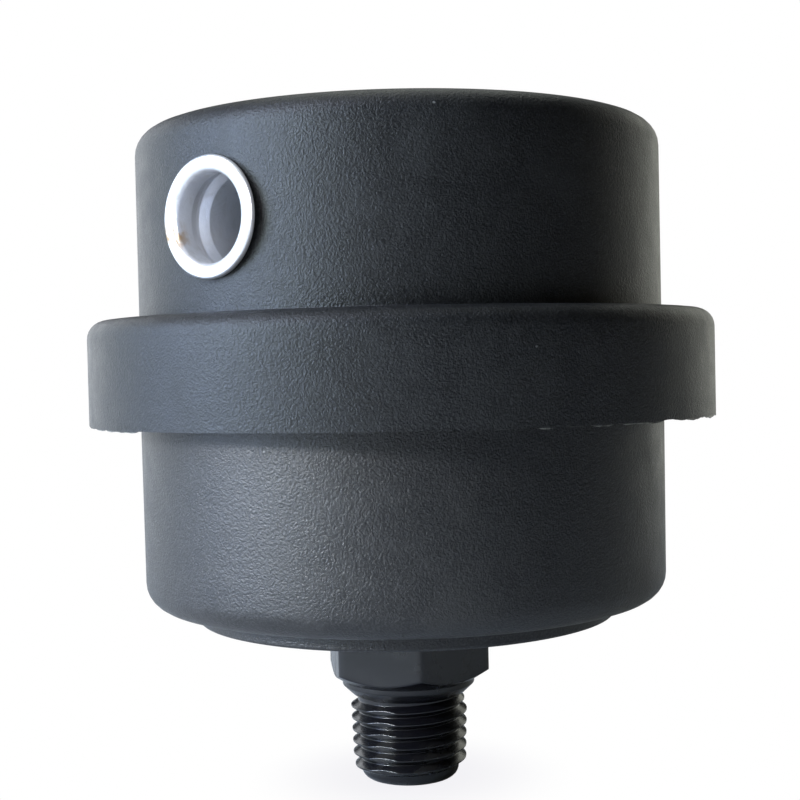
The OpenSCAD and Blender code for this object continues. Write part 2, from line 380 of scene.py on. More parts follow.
@dataclass(frozen=True)
class SurfaceMarks:
    """The marks that every finish shares: grain, smears and specks."""

    name: str = "surface_marks"
    grain_detail: float = 3.0
    cloud_detail: float = 5.0
    cloud_twist: float = 1.2
    cloud_edge: tuple[float, float] = (0.42, 0.72)
    streak_stretch: float = 0.35
    streaks_per_cloud: float = 3.0
    streak_detail: float = 4.0
    streak_edge: tuple[float, float] = (0.35, 0.7)
    speck_edge: tuple[float, float] = (0.07, 0.02)
    bare: float = 0.9

    def group(self) -> bpy.types.NodeTree:
        """Builds the node group, or finds it where it is there already.

        Returns:
            The group, with the outputs Grain, Smear and Specks, each from 0 to 1.
        """
        known = bpy.data.node_groups.get(self.name)
        if known:
            return known
        tree = bpy.data.node_groups.new(self.name, "ShaderNodeTree")
        tree.interface.new_socket("Vector", in_out="INPUT", socket_type="NodeSocketVector")
        for name in ("Grain Size", "Smear Size", "Speck Size"):
            tree.interface.new_socket(name, in_out="INPUT", socket_type="NodeSocketFloat")
        for name in ("Grain", "Smear", "Specks"):
            tree.interface.new_socket(name, in_out="OUTPUT", socket_type="NodeSocketFloat")
        graph = Graph(tree)
        given = graph.add("NodeGroupInput").outputs
        fine = graph.maths("DIVIDE", 1.0, given["Grain Size"])
        wide = graph.maths("DIVIDE", 1.0, given["Smear Size"])
        sparse = graph.maths("DIVIDE", 1.0, given["Speck Size"])
        place = given["Vector"]
        reading = {"Vector": place, "Scale": fine, "Detail": self.grain_detail}
        grain = graph.add("ShaderNodeTexNoise", reading)
        reading = {"Vector": place, "Scale": wide, "Detail": self.cloud_detail}
        cloud = graph.add("ShaderNodeTexNoise", reading | {"Distortion": self.cloud_twist})
        squeezed = graph.add("ShaderNodeMapping", {"Vector": place, "Scale": (1.0, 1.0, self.streak_stretch)})
        closer = graph.maths("MULTIPLY", wide, self.streaks_per_cloud)
        reading = {"Vector": squeezed.outputs[0], "Scale": closer, "Detail": self.streak_detail}
        streak = graph.add("ShaderNodeTexNoise", reading)
        cloudy = graph.ramp(cloud.outputs["Fac"], *self.cloud_edge)
        smear = graph.maths("MULTIPLY", cloudy, graph.ramp(streak.outputs["Fac"], *self.streak_edge))
        cells = graph.add("ShaderNodeTexVoronoi", {"Vector": place, "Scale": sparse, "Randomness": 1.0})
        chance = graph.add("ShaderNodeSeparateColor", {"Color": cells.outputs["Color"]})
        near = graph.ramp(cells.outputs["Distance"], *self.speck_edge)
        rare = graph.maths("GREATER_THAN", chance.outputs["Red"], self.bare)
        specks = graph.maths("MULTIPLY", near, rare)
        graph.add("NodeGroupOutput", {"Grain": grain.outputs["Fac"], "Smear": smear, "Specks": specks})
        return tree


@dataclass(frozen=True)
class Finish:
    """A plain finish: a colour that varies, smears, specks of dust and a fine grain."""

    name: str
    colour: Colour
    smear_colour: Colour
    roughness: float
    metallic: float = 0.0
    specular: float = 0.5
    sheen: float = 0.0
    grain_size: float = 0.3
    grain_height: float = 0.01
    smear_size: float = 9.0
    smear_share: float = 0.5
    smear_roughness: float = 0.24
    speck_size: float = 2.6
    speck_share: float = 0.5
    speck_colour: Colour = (0.55, 0.55, 0.53)

    def material(self) -> Dress:
        """Builds the material.

        Returns:
            The material, with its shader's constants on the shader's own sockets.
        """
        made = bpy.data.materials.new(self.name)
        made.use_nodes = True
        graph = Graph(made.node_tree)
        place = graph.add("ShaderNodeTexCoord").outputs["Object"]
        marks = graph.add("ShaderNodeGroup", node_tree=SurfaceMarks().group())
        graph.tree.links.new(place, marks.inputs["Vector"])
        sizes = {"Grain Size": self.grain_size, "Smear Size": self.smear_size, "Speck Size": self.speck_size}
        for name, size in sizes.items():
            marks.inputs[name].default_value = size * MM
        smear = graph.maths("MULTIPLY", marks.outputs["Smear"], self.smear_share)
        specks = graph.maths("MULTIPLY", marks.outputs["Specks"], self.speck_share)
        colour = graph.blend(smear, self.colour, self.smear_colour)
        colour = graph.blend(specks, colour, self.speck_colour)
        colour = self.coloured(graph, place, colour)
        rough = graph.maths("MULTIPLY", smear, self.smear_roughness)
        rough = graph.maths("ADD", rough, self.roughness)
        height = graph.maths("MULTIPLY", marks.outputs["Grain"], self.grain_height * MM)
        height = self.raised(graph, place, height)
        bump = graph.add("ShaderNodeBump", {"Height": height, "Strength": 1.0, "Distance": 1.0})
        shader = graph.add(
            "ShaderNodeBsdfPrincipled",
            {
                "Base Color": colour,
                "Roughness": self.roughened(graph, place, rough),
                "Metallic": self.metallic,
                "Specular IOR Level": self.specular,
                "Sheen Weight": self.sheen,
                "Normal": bump.outputs[0],
            },
        )
        graph.add("ShaderNodeOutputMaterial", {"Surface": shader.outputs[0]})
        return made

    def coloured(self, graph: Graph, place: Socket, colour: object) -> object:
        """Adds the finish's own colour marks; a plain finish has none."""
        return colour

    def roughened(self, graph: Graph, place: Socket, rough: object) -> object:
        """Adds the finish's own changes of gloss; a plain finish has none."""
        return rough

    def raised(self, graph: Graph, place: Socket, height: object) -> object:
        """Adds the finish's own relief; a plain finish has none."""
        return height


@dataclass(frozen=True)
class MouldedPlastic(Finish):
    """Black moulding from a spark-eroded mould: speckled, pitted and clouded with handling."""

    colour: Colour = (0.0055, 0.0058, 0.007)
    smear_colour: Colour = (0.035, 0.036, 0.036)
    roughness: float = 0.42
    grain_size: float = 0.34
    grain_height: float = 0.06
    smear_size: float = 14.0
    smear_share: float = 0.35
    speck_size: float = 3.0
    speck_share: float = 0.6
    speckle: float = 0.2
    speckle_edge: tuple[float, float] = (0.42, 0.68)
    speckle_height: float = 0.08
    speckle_colour: Colour = (0.029, 0.029, 0.03)
    speckle_share: float = 0.85
    cloud: float = 2.6
    cloud_edge: tuple[float, float] = (0.45, 0.75)
    cloud_colour: Colour = (0.013, 0.013, 0.014)
    cloud_roughness: float = 0.2
    wave: float = 1.04
    wave_height: float = 0.022
    detail: float = 2.5
    rough: float = 0.6

    def pattern(self, graph: Graph, place: Socket, size: float) -> Socket:
        """Adds a noise of a size in millimetres and returns its value."""
        reading = {"Vector": place, "Scale": 1 / (size * MM), "Detail": self.detail, "Roughness": self.rough}
        return graph.add("ShaderNodeTexNoise", reading).outputs["Fac"]

    def coloured(self, graph: Graph, place: Socket, colour: object) -> object:
        """Speckles the colour finely and clouds it broadly.

        Args:
            graph: The material's nodes.
            place: Where on the object the point lies.
            colour: The colour so far.

        Returns:
            The marked colour.
        """
        fine = graph.ramp(self.pattern(graph, place, self.speckle), *self.speckle_edge, self.speckle_share)
        wide = graph.ramp(self.pattern(graph, place, self.cloud), *self.cloud_edge)
        return graph.blend(fine, graph.blend(wide, colour, self.cloud_colour), self.speckle_colour)

    def roughened(self, graph: Graph, place: Socket, rough: object) -> object:
        """Changes the gloss cloud by cloud."""
        wide = graph.maths("SUBTRACT", self.pattern(graph, place, self.cloud), 0.5)
        return graph.maths("ADD", rough, graph.maths("MULTIPLY", wide, self.cloud_roughness))

    def raised(self, graph: Graph, place: Socket, height: object) -> object:
        """Pits the surface finely and waves it slightly.

        Args:
            graph: The material's nodes.
            place: Where on the object the point lies.
            height: The relief so far.

        Returns:
            The relief with pits and waves.
        """
        fine = graph.maths("MULTIPLY", self.pattern(graph, place, self.speckle), self.speckle_height * MM)
        wide = graph.maths("MULTIPLY", self.pattern(graph, place, self.wave), self.wave_height * MM)
        return graph.maths("ADD", height, graph.maths("ADD", fine, wide))


@dataclass(frozen=True)
class FlashedPlastic(MouldedPlastic):
    """The cover's moulding, with a painted highlight along the torn flash below the collar's edge."""

    flash_z: float = 41.16
    flash_fade: float = 0.12
    # the colour of the painted highlight on the flash
    flash_highlight_colour: Colour = (0.2, 0.2, 0.18)
    gap: float = 1.1
    gap_edge: tuple[float, float] = (0.36, 0.6)

    def coloured(self, graph: Graph, place: Socket, colour: object) -> object:
        """Paints a highlight on the thin flash below the collar's edge, here more and there less.

        Args:
            graph: The material's nodes.
            place: Where on the object the point lies.
            colour: The colour so far.

        Returns:
            The moulding's colour with the painted highlight on the flash.
        """
        plain = MouldedPlastic.coloured(self, graph, place, colour)
        height = graph.add("ShaderNodeSeparateXYZ", {"Vector": place}).outputs["Z"]
        # painted highlight: below the collar's edge the flash is coloured pale, broken up by noise
        below = graph.ramp(height, self.flash_z * MM, (self.flash_z - self.flash_fade) * MM)
        broken = graph.ramp(self.pattern(graph, place, self.gap), *self.gap_edge)
        return graph.blend(graph.maths("MULTIPLY", below, broken), plain, self.flash_highlight_colour)


@dataclass(frozen=True)
class PlatedSteel(Finish):
    """Zinc-plated steel, mottled, with a rusty patch inside the tube's mouth."""

    rust_at: tuple[float, float, float] = (-5.0, -30.0, 60.2)
    rust_reach: float = 2.3
    rust_core: float = 0.6
    rust_scale: float = 900.0
    rust_detail: float = 5.0
    rust_edge: tuple[float, float] = (0.38, 0.6)
    rust_colour: Colour = (0.42, 0.28, 0.15)

    def coloured(self, graph: Graph, place: Socket, colour: object) -> object:
        """Tints the patch of rust, broken up by noise.

        Args:
            graph: The material's nodes.
            place: Where on the object the point lies.
            colour: The colour so far.

        Returns:
            The colour with the rust.
        """
        spot = graph.add("ShaderNodeVectorMath", {"0": place}, operation="DISTANCE")
        spot.inputs[1].default_value = tuple(v * MM for v in self.rust_at)
        near = graph.ramp(spot.outputs["Value"], self.rust_reach * MM, self.rust_core * MM)
        reading = {"Vector": place, "Scale": self.rust_scale, "Detail": self.rust_detail}
        broken = graph.add("ShaderNodeTexNoise", reading).outputs["Fac"]
        share = graph.maths("MULTIPLY", near, graph.ramp(broken, *self.rust_edge))
        return graph.blend(share, colour, self.rust_colour)


@dataclass(frozen=True)
class OpenFoam(Finish):
    """Open-cell foam: round sunk cells with painted shade inside them, so their rims look bright."""

    cell: float = 0.8
    hollow_shade_edge: tuple[float, float] = (0.5, 0.15)
    hollow_shade_colour: Colour = (0.004, 0.004, 0.005)
    rim_edge: tuple[float, float] = (0.1, 0.6)
    sink: float = 0.28

    def cells(self, graph: Graph, place: Socket) -> Socket:
        """Adds the foam's cells and returns how far each point is from a cell's middle."""
        reading = {"Vector": place, "Scale": 1 / (self.cell * MM)}
        return graph.add("ShaderNodeTexVoronoi", reading).outputs["Distance"]

    def coloured(self, graph: Graph, place: Socket, colour: object) -> object:
        """Paints shade into the sunk inside of each cell."""
        # painted shade in each cell's hollow, where the cell is sunk
        cell_shade = graph.ramp(self.cells(graph, place), *self.hollow_shade_edge)
        return graph.blend(cell_shade, colour, self.hollow_shade_colour)

    def raised(self, graph: Graph, place: Socket, height: object) -> object:
        """Sinks each cell."""
        sunk = graph.ramp(self.cells(graph, place), *self.rim_edge, self.sink * MM)
        return graph.maths("ADD", height, sunk)


@dataclass(frozen=True)
class Palette:
    """Every finish of the muffler."""

    black: Finish = MouldedPlastic("black_moulding")
    flashed: Finish = FlashedPlastic("flashed_moulding")
    stud: Finish = Finish(
        "stud_moulding", (0.0035, 0.0035, 0.005), (0.04, 0.037, 0.032), 0.24, grain_size=0.35,
        grain_height=0.012, smear_size=6.0, smear_share=0.4, speck_size=2.0, speck_share=0.3,
    )
    zinc: Finish = PlatedSteel(
        "zinc_plated_steel", (0.74, 0.75, 0.78), (0.42, 0.41, 0.4), 0.34, metallic=0.85, grain_size=0.35,
        grain_height=0.022, smear_size=3.0, smear_share=0.7, speck_size=1.2, speck_share=0.35,
        speck_colour=(0.25, 0.22, 0.2),
    )
    rubber: Finish = Finish(
        "seal_rubber", (0.009, 0.009, 0.01), (0.04, 0.04, 0.04), 0.5, grain_size=0.15, grain_height=0.006,
        smear_size=4.0, speck_size=1.5, speck_share=0.3,
    )
    foam: Finish = OpenFoam(
        "grey_foam", (0.075, 0.077, 0.083), (0.03, 0.03, 0.03), 0.92, sheen=0.2, grain_height=0.05,
        smear_size=12.0, speck_share=0.15,
    )
    sponge: Finish = OpenFoam(
        "sponge_rubber", (0.03, 0.03, 0.033), (0.06, 0.06, 0.06), 0.8, cell=0.35, grain_height=0.03,
        speck_share=0.2,
    )
    grey: Finish = Finish(
        "grey_moulding", (0.05, 0.051, 0.055), (0.09, 0.09, 0.09), 0.48, grain_size=0.3, grain_height=0.01,
        smear_size=10.0, speck_share=0.3,
    )
    plastisol: Finish = Finish(
        "end_cap_plastisol", (0.52, 0.13, 0.03), (0.36, 0.09, 0.03), 0.46, grain_size=0.6, grain_height=0.03,
        smear_size=7.0, speck_share=0.35, speck_colour=(0.2, 0.12, 0.08),
    )
    paper: Finish = Finish(
        "filter_paper", (0.72, 0.62, 0.42), (0.5, 0.41, 0.27), 0.85, sheen=0.15, grain_size=0.12,
        grain_height=0.02, smear_size=5.0, smear_share=0.6, speck_size=0.9, speck_share=0.4,
        speck_colour=(0.3, 0.25, 0.18),
    )
    galvanised: Finish = Finish(
        "galvanised_mesh", (0.56, 0.57, 0.57), (0.4, 0.4, 0.4), 0.38, metallic=1.0, grain_size=0.6,
        grain_height=0.01, smear_size=3.0, speck_share=0.3,
    )
    tinned: Finish = Finish(
        "tinned_steel", (0.62, 0.61, 0.58), (0.45, 0.43, 0.4), 0.32, metallic=1.0, grain_size=0.4,
        grain_height=0.006, smear_size=5.0, speck_share=0.3, speck_colour=(0.3, 0.26, 0.2),
    )


# --------------------------------------------------------------------------- the housing


@dataclass(frozen=True)
class Burr:
    """A stretch of torn flash along the collar's lower edge, by degrees from the front."""

    start: float
    end: float
    drop: float
    rag: float
    run_out: float = 1.2
    waves: tuple[float, float] = (0.17, 0.73)
    fine_share: float = 0.6

    def at(self, degrees: float) -> float:
        """Finds how far the flash hangs down.

        Args:
            degrees: The angle from the front.

        Returns:
            The drop in millimetres, or nothing beside the stretch.
        """
        share = min(1.0, min(degrees - self.start, self.end - degrees) / self.run_out)
        wide, fine = (Vector((degrees * wave, self.start, 0.3 + k)) for k, wave in enumerate(self.waves))
        torn = noise.noise(wide) + self.fine_share * noise.noise(fine)
        return max(0.0, share) * (self.drop + self.rag * torn)


@dataclass
class CoverShell:
    """The cover: a cup on a wider collar, with its moulding flash."""

    body_r: float = HOUSING_R
    collar_r: float = 35.0
    wall: float = 1.5
    skirt_wall: float = 2.2
    edge_r: float = 2.8
    collar_edge_r: float = 2.0
    roof: float = 2.4
    rebate_r: float = 28.6
    rebate_z: float = 51.1
    shoulder_z: float = 50.4
    collar_top: float = 52.6
    skirt_z: float = 41.2
    top: float = 73.4
    gate_r: float = 1.4
    gate_step: float = 0.2
    gate_sink: float = 0.12
    fin: float = 0.16
    fin_back: float = 0.34
    fin_rise: float = 0.04
    hole_r: float = 5.06
    hole: tuple[float, float] = (-3.0, 5.0)
    steps: int = 384
    burrs: tuple[Burr, ...] = (
        Burr(9, 20, 0.07, 0.05),
        Burr(20, 24.5, 0.2, 0.1),
        Burr(24.5, 30, 0.08, 0.06),
        Burr(30, 35, 0.22, 0.12),
        Burr(36, 47, 0.2, 0.12),
        Burr(50, 80, 0.26, 0.3),
        Burr(-74, -60, 0.1, 0.14),
        Burr(-60, -48, 0.14, 0.1),
        Burr(118, 131, 0.14, 0.1),
    )

    def corners(self) -> list[Corner]:
        """Lists the outline's corners, from the skirt's inner edge round to itself."""
        inner = self.body_r - self.wall
        skirt = self.collar_r - self.skirt_wall
        return [
            Corner(0, self.top - self.gate_sink),
            Corner(self.gate_r, self.top - self.gate_sink, 0.08),
            Corner(self.gate_r + self.gate_step, self.top, 0.08),
            Corner(self.body_r, self.top, self.edge_r),
            Corner(self.body_r, self.collar_top, 0.3),
            Corner(self.collar_r, self.collar_top, self.collar_edge_r),
            Corner(self.collar_r, self.skirt_z),
            Corner(self.collar_r - self.fin, self.skirt_z),
            Corner(self.collar_r - self.fin_back, self.skirt_z + self.fin_rise),
            Corner(skirt, self.skirt_z, 0.25),
            Corner(skirt, self.shoulder_z, 0.3),
            Corner(self.rebate_r, self.shoulder_z),
            Corner(self.rebate_r, self.rebate_z),
            Corner(inner, self.rebate_z, 0.15),
            Corner(inner, self.top - self.roof, 1.0),
            Corner(0, self.top - self.roof),
        ]

    def build(self, dress: Dress) -> Piece:
        """Builds the cover.

        Args:
            dress: Its material.

        Returns:
            The cover.
        """
        mesh = turned(self.corners(), self.steps, COARSE)
        inside_fin = (self.collar_r - (self.fin + self.fin_back) / 2) * MM
        low = (self.skirt_z + self.fin_rise / 2) * MM
        for vert in mesh.verts:
            if vert.co.z < low and vert.co.xy.length > inside_fin:
                turn = math.degrees(math.atan2(vert.co.y, vert.co.x)) - FRONT
                vert.co.z -= max(burr.at((turn + 180) % 360 - 180) for burr in self.burrs) * MM
        piece = finished(mesh, "cover")
        bored(piece, [intake_hole(self.hole_r, *self.hole, 96)])
        return settle(piece, Body.COVER, dress, "cover_shell")


def on_intake(mesh: Shape) -> Shape:
    """Lays a shape turned round Z on the intake's axis, with its +Z pointing inwards.

    Args:
        mesh: The shape, whose z = 0 comes to the housing's outside.

    Returns:
        The same mesh.
    """
    place = Matrix.Translation(Vector((0, -HOUSING_R, INTAKE_Z)) * MM)
    mesh.transform(place @ Matrix.Rotation(-math.pi / 2, 4, "X"))
    return mesh


def intake_hole(r: float, start: float, end: float, steps: int) -> Shape:
    """Makes the plug that cuts a hole for the intake tube.

    Args:
        r: The hole's radius.
        start: Where it starts, counted inwards from the housing's outside.
        end: Where it ends.
        steps: How many steps make the full turn.

    Returns:
        The plug.
    """
    return on_intake(turned([Corner(0, start), Corner(r, start), Corner(r, end), Corner(0, end)], steps))


@dataclass
class IntakeTube:
    """The plated steel tube, flanged over the cover's hole and locked by a rolled bead."""

    bore_r: float = 4.5
    wall: float = 0.5
    lip_r: float = 6.1
    lip: float = 0.8
    length: float = 25.0
    bead: float = 0.55
    bead_w: float = 1.1
    bead_at: float = 2.16
    roll: float = 0.62
    groove: float = 0.385
    groove_in: float = 0.35
    groove_before: float = 0.6
    groove_after: float = 0.8

    def corners(self) -> list[Corner]:
        """Lists the outline's corners round the tube's section; heights run inwards."""
        outer = self.bore_r + self.wall
        first = self.bead_at
        last = self.bead_at + self.bead_w
        return [
            Corner(self.lip_r, -self.lip, 0.36),
            Corner(self.lip_r, 0, 0.36),
            Corner(outer, 0),
            Corner(outer, first, 0.12),
            Corner(outer + self.bead, first, 0.25),
            Corner(outer + self.bead, last, 0.25),
            Corner(outer, last, 0.12),
            Corner(outer, self.length, 0.2),
            Corner(self.bore_r, self.length, 0.2),
            Corner(self.bore_r, last + self.groove_after, 0.5),
            Corner(self.bore_r + self.groove, last - self.groove_in, 0.4),
            Corner(self.bore_r + self.groove, first + self.groove_in, 0.4),
            Corner(self.bore_r, first - self.groove_before, 0.5),
            Corner(self.bore_r, -self.lip, self.roll),
        ]

    def build(self, dress: Dress) -> Piece:
        """Builds the tube.

        Args:
            dress: Its material.

        Returns:
            The tube.
        """
        piece = finished(on_intake(turned(self.corners(), longest=2.0)), "tube")
        return settle(piece, Body.COVER, dress, "intake_tube")


@dataclass
class BaseShell:
    """The base: a cup with a flange, a hexagon below it and a taper-threaded stud."""

    body_r: float = HOUSING_R
    mouth_r: float = 29.45
    inner_r: float = 27.3
    flange_r: float = 32.4
    flange_z: float = 45.5
    groove_r: float = 30.9
    groove: tuple[float, float] = (46.8, 49.0)
    seat_z: float = 50.3
    rebate_r: float = 28.6
    rebate_z: float = 49.8
    edge_r: float = 2.8
    bottom_z: float = 20.8
    floor_z: float = 22.8
    foot_r: float = 23.6
    foot_z: float = 18.9
    spigot_r: float = 6.6
    spigot_z: float = 28.3
    bore_r: float = 4.0
    neck_r: float = 7.55
    neck_z: float = 9.6
    hex_z: float = 11.3
    hex_af: float = 17.0
    hex_turn: float = 17.0
    chamfer: float = 1.45
    thread_r: float = 6.5785
    gauge: float = 6.0
    pitch: float = 1.337
    depth: float = 0.8557
    taper: float = 1 / 32
    thread_start: float = 1.2
    thread_turns: float = 6.16
    phase: float = 118.5
    ridge_foot: float = 0.47
    ridge_slope: float = 0.42
    run_in: float = 0.35
    run_out: float = 0.6
    flat_angle: float = -80.5
    flat_depth: float = 0.24
    flat_reach: float = 0.9
    corner_wear: float = 0.09
    hex_reach: float = 2.5
    clear: float = 0.05
    steps: int = 192
    rows_per_pitch: int = 36
    cone_rows: int = 16

    def crest(self, height: float) -> float:
        """Finds the thread's crest radius at a height."""
        return self.thread_r + (height - self.gauge) * self.taper

    def corners(self) -> list[Corner]:
        """Lists the outline's corners, with close runs of points on the thread and the chamfer.

        Returns:
            The corners, from the stud's end round to its bore.
        """
        root = self.crest(self.thread_start) - self.depth
        threaded = self.neck_z - self.thread_start
        rows = round(threaded / self.pitch * self.rows_per_pitch)
        first = self.thread_start + self.clear
        run = [first + (threaded - 2 * self.clear) * k / rows for k in range(rows)]
        corner_r = self.hex_af / 2 / HEX_SLANT
        widen = corner_r - self.neck_r
        cone = [k / self.cone_rows for k in range(self.cone_rows + 1)]
        return [
            Corner(self.bore_r, 0, 0.25),
            Corner(root, 0, self.thread_start - self.clear),
            *[Corner(self.crest(z) - self.depth, z) for z in run],
            Corner(self.crest(self.neck_z) - 0.25, self.neck_z + 0.15, 0.1),
            Corner(self.neck_r, self.hex_z - 0.5, 0.2),
            *[Corner(self.neck_r + widen * t, self.hex_z + self.chamfer * t) for t in cone],
            Corner(corner_r, self.foot_z),
            Corner(self.foot_r, self.foot_z, 0.35),
            Corner(self.foot_r, self.bottom_z, 0.3),
            Corner(self.body_r, self.bottom_z, self.edge_r),
            Corner(self.mouth_r, self.flange_z, 0.4),
            Corner(self.flange_r, self.flange_z, 0.3),
            Corner(self.flange_r, self.groove[0], 0.12),
            Corner(self.groove_r, self.groove[0], 0.2),
            Corner(self.groove_r, self.groove[1], 0.2),
            Corner(self.flange_r, self.groove[1], 0.12),
            Corner(self.flange_r, self.seat_z, 0.3),
            Corner(self.rebate_r, self.seat_z, 0.1),
            Corner(self.rebate_r, self.rebate_z),
            Corner(self.inner_r, self.rebate_z, 0.15),
            Corner(self.inner_r, self.floor_z, 1.2),
            Corner(self.spigot_r, self.floor_z, 0.4),
            Corner(self.spigot_r, self.spigot_z, 0.4),
            Corner(self.bore_r, self.spigot_z, 0.3),
        ]

    def hexagon(self, angle: float, r: float) -> float:
        """Finds the hexagon's radius at an angle.

        Args:
            angle: The angle round the axis, in degrees.
            r: The turned radius there.

        Returns:
            The radius, cut by the flats, by the chamfer and by wear on the corners.
        """
        off_flat = (angle - self.hex_turn) % 60 - 30
        flat = self.hex_af / 2 / math.cos(math.radians(off_flat))
        return min(flat, r, self.hex_af / 2 / HEX_SLANT - self.corner_wear)

    def thread(self, angle: float, height: float) -> float:
        """Finds the thread's radius.

        Args:
            angle: The angle round the axis, in degrees.
            height: The height on the stud.

        Returns:
            The radius, with the mould's two flats taken off the ridge.
        """
        turns = (height - self.thread_start) / self.pitch - (angle - self.phase) / 360
        aside = abs(turns - round(turns))
        along = (height - self.thread_start) / self.pitch - (turns - round(turns))
        left = (self.thread_turns - along) / self.run_out
        grown = min(1.0, max(0.0, along / self.run_in), max(0.0, left))
        share = max(0.0, min(1.0, (self.ridge_foot - aside) / self.ridge_slope))
        crest = self.crest(height)
        r = crest - self.depth + self.depth * grown * share
        across = abs(math.cos(math.radians(angle - self.flat_angle)))
        return min(r, (crest - self.flat_depth) / across) if across > self.flat_reach else r

    def build(self, dress: Dress, stud_dress: Dress) -> Piece:
        """Builds the base with its stud.

        Args:
            dress: The cup's material.
            stud_dress: The glossier material of the hexagon and the stud.

        Returns:
            The base.
        """
        mesh = turned(self.corners(), self.steps, COARSE, math.radians(self.hex_turn))
        stud_r = self.neck_r + self.hex_reach
        for vert in mesh.verts:
            r = vert.co.xy.length / MM
            height = vert.co.z / MM
            angle = math.degrees(math.atan2(vert.co.y, vert.co.x))
            wanted = r
            if self.thread_start < height < self.neck_z and r > self.bore_r + self.clear:
                wanted = self.thread(angle, height)
            elif self.hex_z < height < self.foot_z + self.clear and self.neck_r < r < stud_r:
                wanted = self.hexagon(angle, r)
            vert.co.xy *= wanted / r
        piece = finished(mesh, "base")
        settle(piece, Body.BASE, dress, "base_shell")
        piece.data.materials.append(stud_dress)
        for face in piece.data.polygons:
            on_stud = self.bore_r * MM < face.center.xy.length < stud_r * MM
            face.material_index = int(on_stud and face.center.z < (self.foot_z + self.clear) * MM)
        return piece


@dataclass
class SealRing:
    """The rubber ring in the flange's groove."""

    middle_r: float = 31.85
    thick: float = 1.8
    height: float = 47.9
    facets: int = 20

    def build(self, dress: Dress) -> Piece:
        """Builds the ring.

        Args:
            dress: Its material.

        Returns:
            The ring.
        """
        spoke = Vector((self.thick / 2, 0))
        ends = [Matrix.Rotation(math.tau * k / self.facets, 2) @ spoke for k in range(self.facets)]
        section = [Corner(self.middle_r + end.x, self.height + end.y) for end in ends]
        piece = finished(turned(section, steps=160), "seal")
        return settle(piece, Body.SEAL, dress, "housing_seal_ring")


# --------------------------------------------------------------------------- linings and filter


@dataclass
class CoverLinings:
    """The foam ring and the foam disc that line the cover."""

    outer_r: float = 27.7
    inner_r: float = 20.8
    bottom: float = 52.6
    top: float = 69.0
    disc_r: float = 26.7
    roof_z: float = 71.0
    edge: float = 0.7
    holes: tuple[tuple[float, float], ...] = ((5.1, 14.0), (5.85, 3.56))
    hole_start: float = -2.0
    slump: float = 0.12
    slump_waves: float = 320.0

    def soften(self, mesh: Shape) -> Shape:
        """Pulls the surface in here and there, as cut foam is never quite even.

        Args:
            mesh: The foam.

        Returns:
            The same mesh.
        """
        mesh.normal_update()
        for vert in mesh.verts:
            pull = self.slump * (1 + noise.noise(vert.co * self.slump_waves)) / 2
            vert.co -= vert.normal * pull * MM
        return mesh

    def build(self, dress: Dress) -> list[Piece]:
        """Builds both foams.

        Args:
            dress: Their material.

        Returns:
            The ring and the disc.
        """
        ring = band(self.inner_r, self.outer_r, self.bottom, self.top, [self.edge] * 4)
        liner = finished(self.soften(turned(ring, steps=160, longest=1.2)), "foam_ring")
        bored(liner, [intake_hole(r, self.hole_start, depth, 64) for r, depth in self.holes])
        settle(liner, Body.COVER, dress, "foam_liner")
        disc = [
            Corner(0, self.top),
            Corner(self.disc_r, self.top, self.edge),
            Corner(self.disc_r, self.roof_z, self.edge),
            Corner(0, self.roof_z),
        ]
        roof = finished(self.soften(turned(disc, longest=1.2)), "foam_disc")
        settle(roof, Body.COVER, dress, "roof_foam")
        return [liner, roof]


@dataclass
class Baffle:
    """The baffle plate with its ribs and holes, and the sponge ring under it."""

    sponge_r: float = 18.0
    sponge_in_r: float = 8.0
    sponge_z: tuple[float, float] = (48.6, 49.8)

    def build(self, dress: Dress, sponge_dress: Dress) -> Piece:
        """Dresses the plate and builds the sponge ring.

        Args:
            dress: The plate's material.
            sponge_dress: The sponge's material.

        Returns:
            The sponge ring.
        """
        dress_node("baffle_plate", dress)
        section = band(self.sponge_in_r, self.sponge_r, *self.sponge_z, (0.4, 0.4, 0.3, 0.3))
        piece = finished(turned(section, longest=1.5), "sponge_ring")
        settle(piece, Body.BAFFLE, sponge_dress, "hold_down_ring")
        return piece


